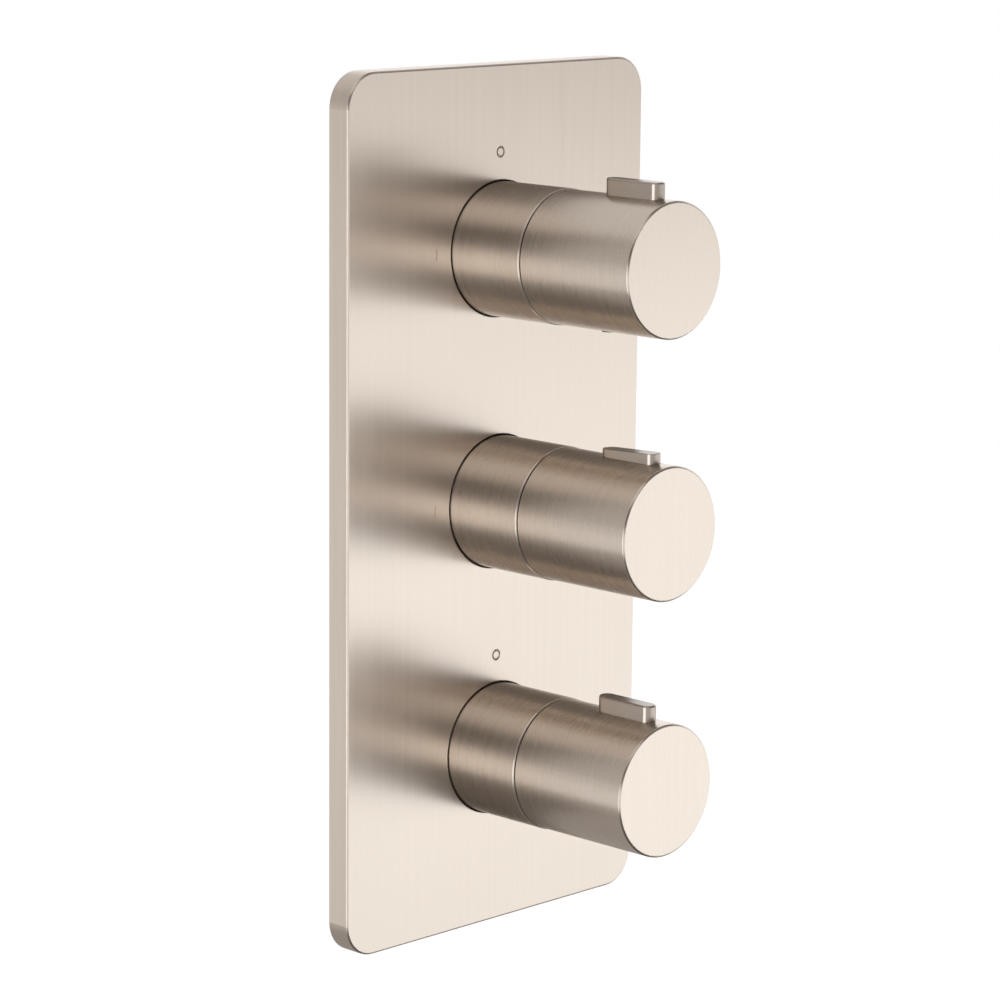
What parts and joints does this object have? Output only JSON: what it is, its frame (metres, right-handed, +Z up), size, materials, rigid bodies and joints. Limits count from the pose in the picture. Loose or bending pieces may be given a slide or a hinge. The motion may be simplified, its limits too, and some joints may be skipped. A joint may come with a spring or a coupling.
{
  "type": "thermostatic shower valve",
  "caption": "Concealed thermostatic shower valve: turning handles on a tall wall plate, with a brass body, thermostat and flow cartridges behind it.",
  "frame": {"origin": "centre of the four fixing lugs' holes, in the plane of the lugs' back faces, on the middle handle's axis", "axes": "+X to the right as the user sees the plate, +Y into the wall, +Z up"},
  "size_m": [0.141, 0.1483, 0.3],
  "materials": {
    "brushed_nickel": "brass plated in satin nickel, brushed in fine straight lines",
    "foam": "closed-cell black foam",
    "seal_rubber": "smooth black rubber",
    "brass": "turned brass with fine lathe lines",
    "cast_brass": "sand-cast brass, a fine grain",
    "spring_steel": "drawn stainless steel",
    "dark_steel": "blackened steel",
    "white_plastic": "moulded acetal",
    "blue_plastic": "moulded acetal",
    "ceramic": "lapped alumina ceramic",
    "copper": "drawn copper"
  },
  "bodies": {
    "body": {"faceplate": "brushed_nickel", "plate_gasket": "foam", "plate_o_rings": "seal_rubber", "collar_top": "brushed_nickel", "collar_mid": "brushed_nickel", "collar_low": "brushed_nickel", "carrier_top": "brass", "carrier_mid": "brass", "carrier_low": "brass", "collar_o_rings": "seal_rubber", "stop_ring": "white_plastic", "valve_body": "cast_brass", "flow_housing_top": "brass", "flow_housing_low": "brass", "fixed_disc_top": "ceramic", "fixed_disc_low": "ceramic", "disc_seals": "seal_rubber", "spindle_o_rings": "seal_rubber", "thermo_housing": "brass", "thermo_nut": "brass", "return_spring": "spring_steel", "thermo_o_rings": "seal_rubber", "check_valve_hot": "white_plastic", "check_valve_cold": "white_plastic", "check_spring_hot": "spring_steel", "check_spring_cold": "spring_steel", "inlet_filters": "spring_steel"},
    "top_handle": {"knob_top": "brushed_nickel", "lever_top": "brushed_nickel", "grub_screw_top": "dark_steel", "adaptor_top": "brass", "flow_spindle_top": "brass", "moving_disc_top": "ceramic"},
    "low_handle": {"knob_low": "brushed_nickel", "lever_low": "brushed_nickel", "grub_screw_low": "dark_steel", "adaptor_low": "brass", "flow_spindle_low": "brass", "moving_disc_low": "ceramic"},
    "temperature_handle": {"knob_mid": "brushed_nickel", "grub_screw_mid": "dark_steel", "adaptor_mid": "brass", "thermo_spindle": "brass", "button_spring": "spring_steel"},
    "button": {"override_button": "brushed_nickel"},
    "thermostat": {"thermo_plunger": "spring_steel", "wax_element": "copper", "shuttle": "spring_steel"},
    "hot_check": {"check_poppet_hot": "blue_plastic"},
    "cold_check": {"check_poppet_cold": "blue_plastic"}
  },
  "joints": [
    {"name": "top_flow_turn", "type": "hinge", "parent": "body", "child": "top_handle", "pos_m": [0, -0.0575, 0.0875], "axis": [0, -1, 0], "range_deg": [0, 90]},
    {"name": "low_flow_turn", "type": "hinge", "parent": "body", "child": "low_handle", "pos_m": [0, -0.0575, -0.0875], "axis": [0, -1, 0], "range_deg": [0, 90]},
    {"name": "temperature_turn", "type": "hinge", "parent": "body", "child": "temperature_handle", "pos_m": [0, -0.0575, 0], "axis": [0, -1, 0], "range_deg": [-135, 90]},
    {"name": "button_press", "type": "slide", "parent": "temperature_handle", "child": "button", "axis": [0, 0, -1], "range_m": [0, 0.0024], "stiffness_N_per_m": 600, "springref_m": -0.002, "deforming": ["button_spring"]},
    {"name": "thermostat_slide", "type": "slide", "parent": "body", "child": "thermostat", "axis": [0, -1, 0], "range_m": [-0.0006, 0.0004], "deforming": ["return_spring"]},
    {"name": "hot_check_lift", "type": "slide", "parent": "body", "child": "hot_check", "axis": [0, 0, 1], "range_m": [0, 0.0025], "stiffness_N_per_m": 60, "springref_m": -0.004, "deforming": ["check_spring_hot"]},
    {"name": "cold_check_lift", "type": "slide", "parent": "body", "child": "cold_check", "axis": [0, 0, 1], "range_m": [0, 0.0025], "stiffness_N_per_m": 60, "springref_m": -0.004, "deforming": ["check_spring_cold"]}
  ],
  "couplings": [
    {"joint": "thermostat_slide", "follows": "temperature_turn", "m_per_rad": 0.00023873}
  ]
}
